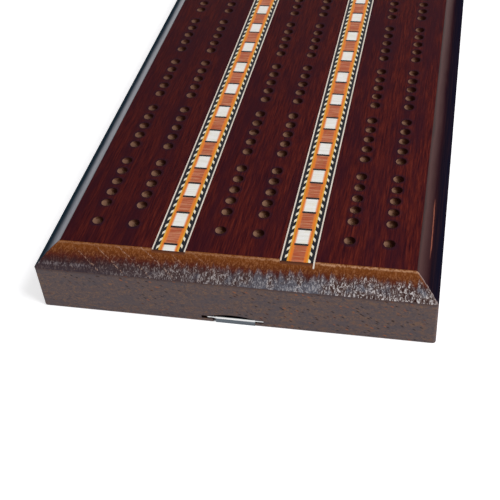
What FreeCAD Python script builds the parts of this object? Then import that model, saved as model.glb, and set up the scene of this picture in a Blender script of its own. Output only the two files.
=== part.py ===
"""A three-lane cribbage board with inlaid marquetry bands and a peg compartment underneath.

Frame, in millimetres: X across the board, Y along it from the near end, where the scoring starts and the
compartment opens, to the far end, and Z up. The origin is the middle of the underside.
"""
import FreeCAD, Part
import math
import os

import Sketcher

SIZES = [
    # the slab of solid hardwood and its bevelled rim
    ("board_width", 110.0, "across the underside"),
    ("board_thickness", 19.6, "underside to playing face"),
    ("side_bevel_run", 6.2, "how far the long bevels reach in from the sides"),
    ("end_bevel_run", 6.8, "how far the end bevels reach in from the ends"),
    ("bevel_drop", 4.9, "how far the bevels fall below the playing face"),
    ("bevel_crown", 0.4, "how far the bevels, planed by hand, swell above a straight slope"),
    ("edge_ease", 0.6, "radius sanded on the edges of the rim"),
    # the peg holes
    ("lane_count", 3, "players"),
    ("lane_spacing", 35.5, "middle of one lane to the middle of the next"),
    ("row_spacing", 10.62, "outward row to homeward row of one lane"),
    ("end_margin", 16.25, "end of the board to the first and last holes"),
    ("start_gap", 7.95, "single start hole to the first scoring hole"),
    ("group_count", 6, "groups along one row"),
    ("holes_per_group", 5, "scoring holes in one group"),
    ("hole_pitch", 5.0, "hole to hole within a group"),
    ("group_gap", 8.5, "last hole of a group to the first of the next"),
    ("hole_diameter", 3.1, "across a hole"),
    ("hole_sides", 12, "flats around a scoring hole"),
    ("hole_floor", 2.4, "wood left between the holes and the compartment"),
    # the two marquetry bands
    ("band_offset", 17.6, "middle of the board to the middle of a band"),
    ("band_depth", 0.6, "thickness of the bands, let in flush"),
    ("glue_line", 0.02, "groove wall to band"),
    ("core_width", 3.9, "across the row of tiles"),
    ("orange_width", 0.45, "orange line beside the tiles"),
    ("yellow_width", 0.45, "yellow line"),
    ("rope_width", 0.8, "rope strip of slanted chips"),
    ("black_width", 0.62, "black line"),
    ("white_width", 0.38, "white line at the edge of the band"),
    ("light_tile", 5.45, "length of a light tile"),
    ("brown_tile", 6.35, "length of a brown tile"),
    ("tile_bar", 0.8, "length of the black bar between two tiles"),
    ("left_band_start", 8.9, "near end to a bar that a brown tile follows, left band"),
    ("right_band_start", 5.9, "the same on the right band"),
    # the peg compartment and the kerfs that its cover slides in
    ("rail_thickness", 1.3, "wood under the kerf, which carries the cover"),
    ("kerf_height", 1.0, "saw kerf that takes the sheet"),
    ("kerf_width", 17.4, "bottom to bottom of the two kerfs"),
    ("kerf_run_on", 6.0, "kerf beyond the far end of the compartment"),
    ("mouth_width", 11.9, "opening between the rails, and width of the compartment"),
    ("mouth_offset", 0.45, "middle of the board to the middle of the opening"),
    ("end_wall", 10.0, "near end to the compartment"),
    ("compartment_length", 92.0, "end to end, between its round ends"),
    ("compartment_height", 5.4, "kerf to roof"),
    ("relief_width", 12.9, "chord of the shallow arch over the cover in the near end"),
    ("relief_rise", 0.95, "rise of that arch above the kerf"),
    # the sliding cover of bent sheet metal
    ("sheet_thickness", 0.8, "sheet metal"),
    ("bend_radius", 1.2, "outside of the bend"),
    ("side_play", 0.85, "kerf bottom to the edge of the sheet, when it lies in the middle"),
    ("slide_clearance", 0.1, "sheet to the wood that it slides on or against"),
    ("lip_gap", 0.75, "rail to the free side of the lip"),
    ("ear_setback", 0.25, "near end to the ears of the sheet beside the lip"),
    ("cover_end_gap", 0.5, "end of the kerf to the sheet"),
]

document = FreeCAD.newDocument("cribbage_board")
sheet = document.addObject("Spreadsheet::Sheet", "sizes")
for row, (alias, size, meaning) in enumerate(SIZES, start=1):
    sheet.set("A%d" % row, meaning)
    sheet.set("B%d" % row, str(size))
    sheet.setAlias("B%d" % row, alias)
document.recompute()

# Lengths that follow from the sizes above, as expressions.
GROUP_STEP = "((sizes.holes_per_group - 1) * sizes.hole_pitch + sizes.group_gap)"
FIELD = "(sizes.group_count * %s - sizes.group_gap)" % GROUP_STEP
LENGTH = "(2 * sizes.end_margin + sizes.start_gap + %s)" % FIELD
KERF_TOP = "(sizes.rail_thickness + sizes.kerf_height)"
ROOF = "(%s + sizes.compartment_height)" % KERF_TOP
HOLE_DEPTH = "(sizes.board_thickness - %s - sizes.hole_floor)" % ROOF
FIRST_ROW_X = "(-(sizes.lane_count - 1) / 2 * sizes.lane_spacing - sizes.row_spacing / 2)"
START_HOLE_Y = "(sizes.end_margin - %s / 2)" % LENGTH
FACE_LENGTH = "(%s - 2 * sizes.end_bevel_run)" % LENGTH
FACE_WIDTH = "(sizes.board_width - 2 * sizes.side_bevel_run)"
# The round slope of an end bevel: its straight chord, its radius, and its centre measured from its head.
CHORD = "sqrt(sizes.end_bevel_run ^ 2 + sizes.bevel_drop ^ 2)"
RADIUS = "((%s ^ 2 + 4 * sizes.bevel_crown ^ 2) / (8 * sizes.bevel_crown))" % CHORD
CENTRE_OUT = "(sizes.end_bevel_run / 2 - (%s - sizes.bevel_crown) * sizes.bevel_drop / %s)" % (RADIUS, CHORD)
CENTRE_UP = "(-sizes.bevel_drop / 2 - (%s - sizes.bevel_crown) * sizes.end_bevel_run / %s)" % (RADIUS, CHORD)
# A band is cut off by the end bevels, so its underside is longer than its top by this at each end.
BAND_SLOPE = "(%s + sqrt(%s ^ 2 - (sizes.band_depth + %s) ^ 2))" % (CENTRE_OUT, RADIUS, CENTRE_UP)
TILE_PERIOD = "(sizes.light_tile + sizes.brown_tile + 2 * sizes.tile_bar)"
KERF_LENGTH = "(sizes.end_wall + sizes.compartment_length + sizes.kerf_run_on)"
COVER_BOTTOM = "(sizes.rail_thickness + sizes.slide_clearance)"

# The lines of a band on each side of its tiles, from the tiles outwards.
LINES = ["orange", "yellow", "rope", "black", "white"]
BAND_WIDTH = "(sizes.core_width + 2 * (%s))" % " + ".join("sizes.%s_width" % line for line in LINES)


def value(expression):
    """The number that an expression has now, used to draw a sketch near its final size."""
    return float(sheet.evalExpression(expression))


def new_body(label):
    body = document.addObject("PartDesign::Body", label)
    body.Label = label
    return body


def new_sketch(body, name, plane, along=("0", "0", "0")):
    """A sketch on one of the body's own origin planes, moved by three expressions in that plane's frame."""
    sketch = body.newObject("Sketcher::SketchObject", name)
    support = [item for item in body.Origin.OriginFeatures if item.Role == plane][0]
    sketch.AttachmentSupport = [(support, "")]
    sketch.MapMode = "FlatFace"
    for axis, expression in zip("xyz", along):
        sketch.setExpression("AttachmentOffset.Base.%s" % axis, expression)
    return sketch


def place_point(sketch, geometry, point, x, y):
    """Ties one point of a sketch to two expressions, measured from the sketch's origin."""
    for kind, expression in (("DistanceX", x), ("DistanceY", y)):
        index = sketch.addConstraint(
            Sketcher.Constraint(kind, -1, 1, geometry, point, value(expression))
        )
        sketch.setExpression("Constraints[%d]" % index, expression)


def polygon(sketch, corners, crowns=()):
    """A closed outline, counterclockwise, through corners given as pairs of expressions.

    Its sides are straight, but for crowns: pairs of a side's number and the height of its arc above the
    straight line. A height below zero makes an arc that goes inwards.
    """
    points = [FreeCAD.Vector(value(x), value(y), 0) for x, y in corners]
    first = sketch.GeometryCount
    count = len(points)
    heights = dict(crowns)
    ends = []
    for index in range(count):
        start = points[index]
        stop = points[(index + 1) % count]
        inwards = index in heights and value(heights[index]) < 0
        ends.append((2, 1) if inwards else (1, 2))
        if index in heights:
            outward = FreeCAD.Vector(stop.y - start.y, start.x - stop.x, 0).normalize()
            top = (start + stop) / 2 + outward * value(heights[index])
            side = Part.Arc(stop, top, start) if inwards else Part.Arc(start, top, stop)
        else:
            side = Part.LineSegment(start, stop)
        sketch.addGeometry(side, False)
    for index, (x, y) in enumerate(corners):
        before = (index - 1) % count
        sketch.addConstraint(
            Sketcher.Constraint("Coincident", first + before, ends[before][1], first + index, ends[index][0])
        )
        place_point(sketch, first + index, ends[index][0], x, y)
    for index, height in crowns:
        (start_x, start_y), (stop_x, stop_y) = corners[index], corners[(index + 1) % count]
        squares = "(%s - (%s)) ^ 2 + (%s - (%s)) ^ 2" % (stop_x, start_x, stop_y, start_y)
        radius = "(%s + 4 * (%s) ^ 2) / (8 * abs(%s))" % (squares, height, height)
        constraint = sketch.addConstraint(Sketcher.Constraint("Radius", first + index, value(radius)))
        sketch.setExpression("Constraints[%d]" % constraint, radius)


def rectangle(sketch, width, height, x="0", y="0"):
    """A rectangle of the given size around the point x, y."""
    left = "%s - %s / 2" % (x, width)
    right = "%s + %s / 2" % (x, width)
    low = "%s - %s / 2" % (y, height)
    high = "%s + %s / 2" % (y, height)
    polygon(sketch, [(left, low), (right, low), (right, high), (left, high)])


def circle(sketch, x, y, diameter):
    centre = FreeCAD.Vector(value(x), value(y), 0)
    index = sketch.addGeometry(Part.Circle(centre, FreeCAD.Vector(0, 0, 1), value(diameter) / 2), False)
    place_point(sketch, index, 3, x, y)
    constraint = sketch.addConstraint(Sketcher.Constraint("Diameter", index, value(diameter)))
    sketch.setExpression("Constraints[%d]" % constraint, diameter)


def feature(body, kind, sketch, name, length, reverse=False, symmetric=False):
    """A pad or a pocket of the sketch, with its length as an expression."""
    made = body.newObject("PartDesign::" + kind, name)
    made.Profile = sketch
    if symmetric:
        made.SideType = "Symmetric"
    made.Reversed = reverse
    made.setExpression("Length", length)
    document.recompute()
    return made


def volume_of(body):
    document.recompute()
    return body.Shape.Volume


def must_cut(body, before, what):
    """A pocket that points away from the wood cuts nothing and says nothing, so the volume is compared."""
    if not volume_of(body) < before - 0.1:
        raise RuntimeError("%s cut nothing" % what)


def axis_of(body, role):
    return [item for item in body.Origin.OriginFeatures if item.Role == role][0]


def pattern(body, originals, name, steps):
    """Repeats features along the body's own axes: steps is a list of axis role, spacing and count."""
    repeat = body.newObject("PartDesign::MultiTransform", name)
    repeat.Originals = originals
    repeat.Refine = False
    rows = []
    for role, spacing, count in steps:
        line = body.newObject("PartDesign::LinearPattern", "%s_along_%s" % (name, role[0].lower()))
        line.Direction = (axis_of(body, role), [""])
        line.Mode = "Spacing"
        line.setExpression("Offset", spacing)
        line.setExpression("Occurrences", count)
        rows.append(line)
    repeat.Transformations = rows
    body.Tip = repeat
    document.recompute()
    return repeat


def board():
    """The slab: bevelled all round, drilled, grooved for the bands and routed underneath."""
    body = new_body("board")
    shoulder = "(sizes.board_thickness - sizes.bevel_drop)"

    # The cross-section of the slab, with the long bevels planed along it.
    section = new_sketch(body, "slab_section", "XZ_Plane")
    half_width = "(sizes.board_width / 2)"
    half_face = "(%s / 2)" % FACE_WIDTH
    polygon(section, [("-" + half_width, "0"), (half_width, "0"), (half_width, shoulder),
                      (half_face, "sizes.board_thickness"), ("-" + half_face, "sizes.board_thickness"),
                      ("-" + half_width, shoulder)],
            [(2, "sizes.bevel_crown"), (4, "sizes.bevel_crown")])
    feature(body, "Pad", section, "slab", LENGTH, symmetric=True)

    # The end bevels are cut across both ends.
    before = volume_of(body)
    ends = new_sketch(body, "end_bevel_section", "YZ_Plane")
    half_length = "(%s / 2)" % LENGTH
    half_face = "(%s / 2)" % FACE_LENGTH
    beyond = "(%s + 1)" % half_length
    above = "(sizes.board_thickness + 1)"
    polygon(ends, [(half_face, "sizes.board_thickness"), (half_length, shoulder), (beyond, shoulder),
                   (beyond, above), (half_face, above)], [(0, "-sizes.bevel_crown")])
    polygon(ends, [("-" + half_face, "sizes.board_thickness"), ("-" + half_face, above), ("-" + beyond, above),
                   ("-" + beyond, shoulder), ("-" + half_length, shoulder)], [(4, "-sizes.bevel_crown")])
    bevel = feature(body, "Pocket", ends, "end_bevels", "2 * sizes.board_width", symmetric=True)
    must_cut(body, before, "end bevels")

    # Every edge but those of the underside is sanded to a small radius.
    eased = body.newObject("PartDesign::Fillet", "eased_edges")
    edges = ["Edge%d" % (index + 1) for index, edge in enumerate(bevel.Shape.Edges)
             if max(vertex.Z for vertex in edge.Vertexes) > value(shoulder) - 0.01]
    eased.Base = (bevel, edges)
    eased.setExpression("Radius", "sizes.edge_ease")
    document.recompute()

    for side, sign in (("left", "-"), ("right", "")):
        before = volume_of(body)
        groove = new_sketch(body, side + "_groove_plan", "XY_Plane", ("0", "0", "sizes.board_thickness"))
        rectangle(groove, "(%s + 2 * sizes.glue_line)" % BAND_WIDTH, LENGTH, sign + "sizes.band_offset")
        feature(body, "Pocket", groove, side + "_band_groove", "sizes.band_depth")
        must_cut(body, before, side + " band groove")

    # The underside: the mouth between the rails, the compartment above it and the kerfs beside it.
    near_end = "(-%s / 2)" % LENGTH
    half_mouth = "(sizes.mouth_width / 2)"
    before = volume_of(body)
    mouth = new_sketch(body, "mouth_plan", "XY_Plane")
    mouth_run = "(sizes.end_wall + %s)" % half_mouth
    rectangle(mouth, "sizes.mouth_width", mouth_run, "sizes.mouth_offset", "%s + %s / 2" % (near_end, mouth_run))
    feature(body, "Pocket", mouth, "mouth", KERF_TOP, reverse=True)
    must_cut(body, before, "mouth")

    before = volume_of(body)
    routed = new_sketch(body, "compartment_plan", "XY_Plane")
    routed_slot(routed, "sizes.mouth_offset", "%s + sizes.end_wall" % near_end,
                "sizes.compartment_length", "sizes.mouth_width")
    feature(body, "Pocket", routed, "compartment", ROOF, reverse=True)
    must_cut(body, before, "compartment")

    before = volume_of(body)
    kerf = new_sketch(body, "kerf_section", "XZ_Plane", ("0", "0", "%s / 2" % LENGTH))
    rectangle(kerf, "sizes.kerf_width", "sizes.kerf_height", "0", "sizes.rail_thickness + sizes.kerf_height / 2")
    feature(body, "Pocket", kerf, "kerf", KERF_LENGTH)
    must_cut(body, before, "kerf")

    before = volume_of(body)
    arch = new_sketch(body, "relief_section", "XZ_Plane", ("0", "0", "%s / 2" % LENGTH))
    arch_outline(arch, "sizes.relief_width", KERF_TOP, "sizes.relief_rise")
    feature(body, "Pocket", arch, "finger_relief", mouth_run)
    must_cut(body, before, "finger relief")

    # One true round start hole, repeated for every row.
    rows_and_lanes = [("X_Axis", "sizes.row_spacing", "2"), ("X_Axis", "sizes.lane_spacing", "sizes.lane_count")]
    before = volume_of(body)
    start = new_sketch(body, "start_hole_plan", "XY_Plane", ("0", "0", "sizes.board_thickness"))
    circle(start, FIRST_ROW_X, START_HOLE_Y, "sizes.hole_diameter")
    drilled = feature(body, "Pocket", start, "start_hole", HOLE_DEPTH)
    pattern(body, [drilled], "start_holes", rows_and_lanes)
    must_cut(body, before, "start holes")

    # The scoring holes are prisms of few flats around the same circle, which keeps the many facets down.
    before = volume_of(body)
    scoring = body.newObject("PartDesign::SubtractivePrism", "scoring_hole")
    scoring.AttachmentSupport = [(axis_of(body, "XY_Plane"), "")]
    scoring.MapMode = "FlatFace"
    scoring.setExpression("AttachmentOffset.Base.x", FIRST_ROW_X)
    scoring.setExpression("AttachmentOffset.Base.y", "%s + sizes.start_gap" % START_HOLE_Y)
    scoring.setExpression("AttachmentOffset.Base.z", "sizes.board_thickness - %s" % HOLE_DEPTH)
    scoring.setExpression("Polygon", "sizes.hole_sides")
    scoring.setExpression("Circumradius", "sizes.hole_diameter / 2 / cos(180 / sizes.hole_sides)")
    scoring.setExpression("Height", HOLE_DEPTH)
    document.recompute()
    along = [("Y_Axis", "sizes.hole_pitch", "sizes.holes_per_group"), ("Y_Axis", GROUP_STEP, "sizes.group_count")]
    pattern(body, [scoring], "scoring_holes", along + rows_and_lanes)
    must_cut(body, before, "scoring holes")


def routed_slot(sketch, x, near, length, width):
    """A slot with round ends, as a router bit leaves it: near is its near end, length its whole length."""
    radius = "%s / 2" % width
    near_centre = "%s + %s" % (near, radius)
    far_centre = "%s + %s - %s" % (near, length, radius)
    middle = value(x)
    reach = value(radius)
    low = value(near_centre)
    high = value(far_centre)
    axis = FreeCAD.Vector(0, 0, 1)
    near_circle = Part.Circle(FreeCAD.Vector(middle, low, 0), axis, reach)
    far_circle = Part.Circle(FreeCAD.Vector(middle, high, 0), axis, reach)
    near_arc = sketch.addGeometry(Part.ArcOfCircle(near_circle, math.pi, 2 * math.pi), False)
    far_arc = sketch.addGeometry(Part.ArcOfCircle(far_circle, 0, math.pi), False)
    right = sketch.addGeometry(Part.LineSegment(FreeCAD.Vector(middle + reach, low, 0),
                                                FreeCAD.Vector(middle + reach, high, 0)), False)
    left = sketch.addGeometry(Part.LineSegment(FreeCAD.Vector(middle - reach, high, 0),
                                               FreeCAD.Vector(middle - reach, low, 0)), False)
    for one, end, other, start in ((near_arc, 2, right, 1), (right, 2, far_arc, 1),
                                   (far_arc, 2, left, 1), (left, 2, near_arc, 1)):
        sketch.addConstraint(Sketcher.Constraint("Tangent", one, end, other, start))
    place_point(sketch, near_arc, 3, x, near_centre)
    place_point(sketch, far_arc, 3, x, far_centre)
    constraint = sketch.addConstraint(Sketcher.Constraint("Radius", near_arc, reach))
    sketch.setExpression("Constraints[%d]" % constraint, radius)


def arch_outline(sketch, chord, foot, rise):
    """A flat arch: an arc of the given rise over a chord at the height foot, and that chord."""
    half = value(chord) / 2
    low = value(foot)
    top = value(rise)
    crown = Part.Arc(FreeCAD.Vector(half, low, 0), FreeCAD.Vector(0, low + top, 0), FreeCAD.Vector(-half, low, 0))
    arc = sketch.addGeometry(crown, False)
    line = sketch.addGeometry(Part.LineSegment(FreeCAD.Vector(-half, low, 0), FreeCAD.Vector(half, low, 0)), False)
    sketch.addConstraint(Sketcher.Constraint("Coincident", arc, 2, line, 1))
    place_point(sketch, line, 1, "-%s / 2" % chord, foot)
    sketch.addConstraint(Sketcher.Constraint("Coincident", line, 2, arc, 1))
    place_point(sketch, line, 2, "%s / 2" % chord, foot)
    radius = "((%s / 2) ^ 2 + %s ^ 2) / (2 * %s)" % (chord, rise, rise)
    constraint = sketch.addConstraint(Sketcher.Constraint("Radius", arc, value(radius)))
    sketch.setExpression("Constraints[%d]" % constraint, radius)


def band_side(sketch):
    """Side view of a band: flat below and above, its ends cut off along the end bevels of the board."""
    low = "(%s / 2 + %s)" % (FACE_LENGTH, BAND_SLOPE)
    high = "%s / 2" % FACE_LENGTH
    top = "sizes.band_depth"
    polygon(sketch, [("-" + low, "0"), (low, "0"), (high, top), ("-" + high, top)])


def seat_in_groove(body, x):
    """Stands a piece of a band on the floor of its groove."""
    body.setExpression("Placement.Base.x", x)
    body.setExpression("Placement.Base.z", "sizes.board_thickness - sizes.band_depth")


def band_lines(side, sign):
    """The lines and rope strips, in pairs either side of the tiles."""
    inner_edge = "sizes.core_width / 2"
    for line in LINES:
        width = "sizes.%s_width" % line
        middle = "(%s + %s / 2)" % (inner_edge, width)
        for place, direction in (("outer", sign), ("inner", "-" if sign == "+" else "+")):
            body = new_body("%s_band_%s_%s" % (side, line, place))
            section = new_sketch(body, body.Label + "_side", "YZ_Plane")
            band_side(section)
            feature(body, "Pad", section, body.Label + "_strip", width, symmetric=True)
            seat_in_groove(body, "%ssizes.band_offset %s %s" % (sign, direction, middle))
        inner_edge = "%s + %s" % (inner_edge, width)


def tile_row(side, sign, kind, tile_length, first_middles):
    """One kind of tile along a band: the tiles of one period, repeated and cut off by the end bevels."""
    body = new_body("%s_band_%s" % (side, kind))
    plan = new_sketch(body, body.Label + "_plan", "XY_Plane")
    band_start = "(sizes.%s_band_start - %s / 2 - %s)" % (side, LENGTH, TILE_PERIOD)
    for middle in first_middles:
        rectangle(plan, "sizes.core_width", tile_length, "0", "%s + %s" % (band_start, middle))
    tile = feature(body, "Pad", plan, body.Label + "_first", "sizes.band_depth")
    count = "floor(%s / %s) + 2" % (LENGTH, TILE_PERIOD)
    pattern(body, [tile], body.Label + "_row", [("Y_Axis", TILE_PERIOD, count)])

    before = volume_of(body)
    trim = new_sketch(body, body.Label + "_ends", "YZ_Plane")
    beyond = "(%s / 2 + 2 * %s)" % (LENGTH, TILE_PERIOD)
    low = "(%s / 2 + %s)" % (FACE_LENGTH, BAND_SLOPE)
    high = "(%s / 2)" % FACE_LENGTH
    for end in ("-", "+"):
        polygon(trim, [(end + beyond, "0"), (end + low, "0"),
                       (end + high, "sizes.band_depth"), (end + beyond, "sizes.band_depth")])
    cut = feature(body, "Pocket", trim, body.Label + "_trimmed", "2 * sizes.core_width", symmetric=True)
    body.Tip = cut
    must_cut(body, before, body.Label)
    seat_in_groove(body, "%ssizes.band_offset" % sign)


def tile_rows(side, sign):
    """The core of a band: light and brown tiles by turns, with a black bar between each two."""
    brown_middle = "(sizes.tile_bar + sizes.brown_tile) / 2"
    second_bar = "(sizes.tile_bar + sizes.brown_tile)"
    light_middle = "(%s + (sizes.tile_bar + sizes.light_tile) / 2)" % second_bar
    tile_row(side, sign, "brown_tiles", "sizes.brown_tile", [brown_middle])
    tile_row(side, sign, "light_tiles", "sizes.light_tile", [light_middle])
    tile_row(side, sign, "black_bars", "sizes.tile_bar", ["0", second_bar])


def cover():
    """The sliding cover: flat sheet with two ears in the kerfs, its near end bent down to a lip."""
    body = new_body("cover_plate")
    plate_width = "(sizes.kerf_width - 2 * sizes.side_play)"
    plate_length = "(%s - sizes.ear_setback - sizes.cover_end_gap)" % KERF_LENGTH
    # Pushed against the right-hand kerf, as it comes to lie in use.
    plate_x = "(sizes.side_play - sizes.slide_clearance)"
    near_end = "(-%s / 2)" % LENGTH
    plan = new_sketch(body, "plate_plan", "XY_Plane", ("0", "0", COVER_BOTTOM))
    rectangle(plan, plate_width, plate_length, plate_x,
              "%s + sizes.ear_setback + %s / 2" % (near_end, plate_length))
    feature(body, "Pad", plan, "plate", "sizes.sheet_thickness")

    lip_left = "(sizes.mouth_offset - sizes.mouth_width / 2 + sizes.lip_gap)"
    lip_right = "(sizes.mouth_offset + sizes.mouth_width / 2 - sizes.slide_clearance)"
    lip_width = "(%s - %s)" % (lip_right, lip_left)
    lip_x = "((%s + %s) / 2)" % (lip_left, lip_right)
    before = volume_of(body)
    notch = new_sketch(body, "lip_notch_plan", "XY_Plane", ("0", "0", "%s + sizes.sheet_thickness" % COVER_BOTTOM))
    notch_run = "(sizes.bend_radius - sizes.ear_setback)"
    rectangle(notch, lip_width, notch_run, lip_x,
              "%s + sizes.ear_setback + %s / 2" % (near_end, notch_run))
    feature(body, "Pocket", notch, "lip_notch", "sizes.sheet_thickness")
    must_cut(body, before, "lip notch")

    section = new_sketch(body, "lip_section", "YZ_Plane", (near_end, "0", lip_x))
    lip_outline(section)
    feature(body, "Pad", section, "lip", lip_width, symmetric=True)


def lip_outline(sketch):
    """Side view of the bent end of the sheet, from the lip's foot round the bend to the flat part."""
    thickness = value("sizes.sheet_thickness")
    outside = value("sizes.bend_radius")
    foot = value("sizes.slide_clearance")
    bottom = value(COVER_BOTTOM)
    top = bottom + thickness
    centre = FreeCAD.Vector(outside, top - outside, 0)
    axis = FreeCAD.Vector(0, 0, 1)
    outer = sketch.addGeometry(
        Part.ArcOfCircle(Part.Circle(centre, axis, outside), math.pi / 2, math.pi), False)
    inner = sketch.addGeometry(
        Part.ArcOfCircle(Part.Circle(centre, axis, outside - thickness), math.pi / 2, math.pi), False)
    corners = [(0, top - outside), (0, foot), (thickness, foot), (thickness, top - outside)]
    points = [FreeCAD.Vector(y, z, 0) for y, z in corners]
    front, base, back = [sketch.addGeometry(Part.LineSegment(points[index], points[index + 1]), False)
                         for index in range(3)]
    end = sketch.addGeometry(
        Part.LineSegment(FreeCAD.Vector(outside, bottom, 0), FreeCAD.Vector(outside, top, 0)), False)
    sketch.addConstraint(Sketcher.Constraint("Tangent", outer, 2, front, 1))
    sketch.addConstraint(Sketcher.Constraint("Coincident", front, 2, base, 1))
    sketch.addConstraint(Sketcher.Constraint("Coincident", base, 2, back, 1))
    sketch.addConstraint(Sketcher.Constraint("Tangent", back, 2, inner, 2))
    sketch.addConstraint(Sketcher.Constraint("Coincident", inner, 1, end, 1))
    sketch.addConstraint(Sketcher.Constraint("Coincident", end, 2, outer, 1))
    sketch.addConstraint(Sketcher.Constraint("Coincident", inner, 3, outer, 3))
    place_point(sketch, front, 2, "0", "sizes.slide_clearance")
    place_point(sketch, base, 2, "sizes.sheet_thickness", "sizes.slide_clearance")
    place_point(sketch, end, 1, "sizes.bend_radius", COVER_BOTTOM)
    place_point(sketch, end, 2, "sizes.bend_radius", "%s + sizes.sheet_thickness" % COVER_BOTTOM)


board()
for band_name, band_sign in (("left", "-"), ("right", "+")):
    tile_rows(band_name, band_sign)
    band_lines(band_name, band_sign)
cover()
document.recompute()

subparts = [item for item in document.Objects if item.TypeId == "PartDesign::Body"]
for item in document.Objects:
    if "Invalid" in item.State or "Error" in item.State:
        raise RuntimeError("%s failed: %s" % (item.Label, item.State))
for item in subparts:
    if item.Shape.isNull() or not item.Shape.isValid() or not item.Shape.Solids:
        raise RuntimeError("%s has no sound solid" % item.Label)

os.makedirs("parts", exist_ok=True)
for item in subparts:
    item.Shape.exportStep("parts/%s.step" % item.Label)
    print("%-28s %3d solids %10.2f mm3" % (item.Label, len(item.Shape.Solids), item.Shape.Volume))
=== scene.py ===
"""Looks of the inlaid cribbage board: stained hardwood, marquetry bands and steel cover, in metres."""

import math

import bmesh
import bpy
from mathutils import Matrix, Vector


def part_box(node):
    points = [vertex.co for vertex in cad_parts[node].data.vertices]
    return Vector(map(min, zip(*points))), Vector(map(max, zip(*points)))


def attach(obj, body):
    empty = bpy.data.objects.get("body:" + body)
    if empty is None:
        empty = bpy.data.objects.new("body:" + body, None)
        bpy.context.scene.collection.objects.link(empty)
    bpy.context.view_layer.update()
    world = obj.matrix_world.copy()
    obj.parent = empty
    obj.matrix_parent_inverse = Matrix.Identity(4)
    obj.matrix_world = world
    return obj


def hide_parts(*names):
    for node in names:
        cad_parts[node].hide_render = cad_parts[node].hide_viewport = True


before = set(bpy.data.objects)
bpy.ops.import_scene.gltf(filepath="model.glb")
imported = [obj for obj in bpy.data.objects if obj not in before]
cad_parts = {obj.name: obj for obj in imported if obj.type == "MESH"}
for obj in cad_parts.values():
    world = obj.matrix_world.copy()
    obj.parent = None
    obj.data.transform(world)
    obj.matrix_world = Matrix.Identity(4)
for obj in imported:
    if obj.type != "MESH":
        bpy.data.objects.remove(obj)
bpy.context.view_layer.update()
MM = 0.001

# ---------------------------------------------------------------- sizes, in millimetres
board_low, board_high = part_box("board")
WIDTH = (board_high.x - board_low.x) / MM
LENGTH = (board_high.y - board_low.y) / MM
THICKNESS = (board_high.z - board_low.z) / MM
NEAR_END = -LENGTH / 2

SIDE_BEVEL_RUN = 6.2
END_BEVEL_RUN = 6.8
BEVEL_DROP = 4.9
BEVEL_CROWN = 0.4         # the bevels are planed slightly round
SHOULDER = THICKNESS - BEVEL_DROP
SHOULDER_BLEND = 0.3      # the corners change their radius over this, above and below the shoulder
WALL_JOIN = 0.15          # a short curve above the shoulder joins a bevel to its wall
FACE_X = WIDTH / 2 - SIDE_BEVEL_RUN
FACE_Y = LENGTH / 2 - END_BEVEL_RUN
UPRIGHT_CORNER = 0.8      # radius of the four upright corners
MITRE_RADIUS = 0.35       # radius of the ridge where two bevels meet
FOOT_EASE = 0.45          # sanding along the bottom edges
CREASE_WEAR = 0.35        # how far the worn edge of the playing face reaches in from the crease
CREASE_DROP = 0.14        # and how far it reaches down

LANES = (-35.5, 0.0, 35.5)
ROW_SPACING = 10.62
END_MARGIN = 16.25
START_GAP = 7.95
GROUPS = 6
HOLES_IN_GROUP = 5
HOLE_PITCH = 5.0
GROUP_GAP = 8.5
GROUP_STEP = (HOLES_IN_GROUP - 1) * HOLE_PITCH + GROUP_GAP
HOLE_RADIUS = 1.55
HOLE_DEPTH = 9.5
HOLE_SIDES = 24
RIM_WEAR = 0.06           # pegs have rounded the rims of the holes

BAND_OFFSET = 17.6        # from the middle of the board to the middle of each band
BAND_HALF_WIDTH = 4.65
BAND_DEPTH = 0.6
GLUE_LINE = 0.02
BAND_SHOWS = 0.38         # how far a band shows on the end bevels before the stain covers it
BAND_END = 1.1            # and how far it reaches, to its cut end
TILE_HALF_WIDTH = 1.8
DYE_CREEP = 0.35          # how far orange dye has crept into the tiles' edges
ROPE_MIDDLE = 3.25        # from the middle of a band to the middle of each of its rope strips
ROPE_SLANT = 1.25         # rise of a chip along the band for each millimetre across it
ROPE_PALE = 0.40          # share of the pitch that is pale
ROPE_GLUE = 0.1           # between a pale chip and a black one
ROPE_TRIM = 0.27          # the chips stop this far outside the strip's middle, at the black line's glue
SLIVER_X = BAND_OFFSET + 4.46    # the right-hand band's outermost line
SLIVER_REACH = 1.9        # and how far a sliver of it is left on the near bevel
SLIVER_TIP = 0.3          # over which it fades out

RAIL = 1.3
KERF_HEIGHT = 1.0
KERF_TOP = RAIL + KERF_HEIGHT
KERF_HALF_WIDTH = 8.7
KERF_LENGTH = 108.0
MOUTH_MIDDLE = 0.45
MOUTH_HALF_WIDTH = 5.95
END_WALL = 10.0
COMPARTMENT_LENGTH = 92.0
ROOF = KERF_TOP + 5.4
RELIEF_HALF_CHORD = 6.45
RELIEF_RISE = 0.95
PAST = 1.0                # how far a cutter reaches past the wood
BEND_HIGHLIGHT = (1.42, 1.5)  # heights over which the lip turns to a painted highlight, on the outside of the bend
HIGHLIGHT_ENDS = (1.8, 1.9)    # and over which the painted highlight turns into the top, painted dark as shade just behind the bend
PAINTED_SHADE_REACH = (2.5, 5.0)   # from the near end, on the top of the cover, over which that painted shade fades out
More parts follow.
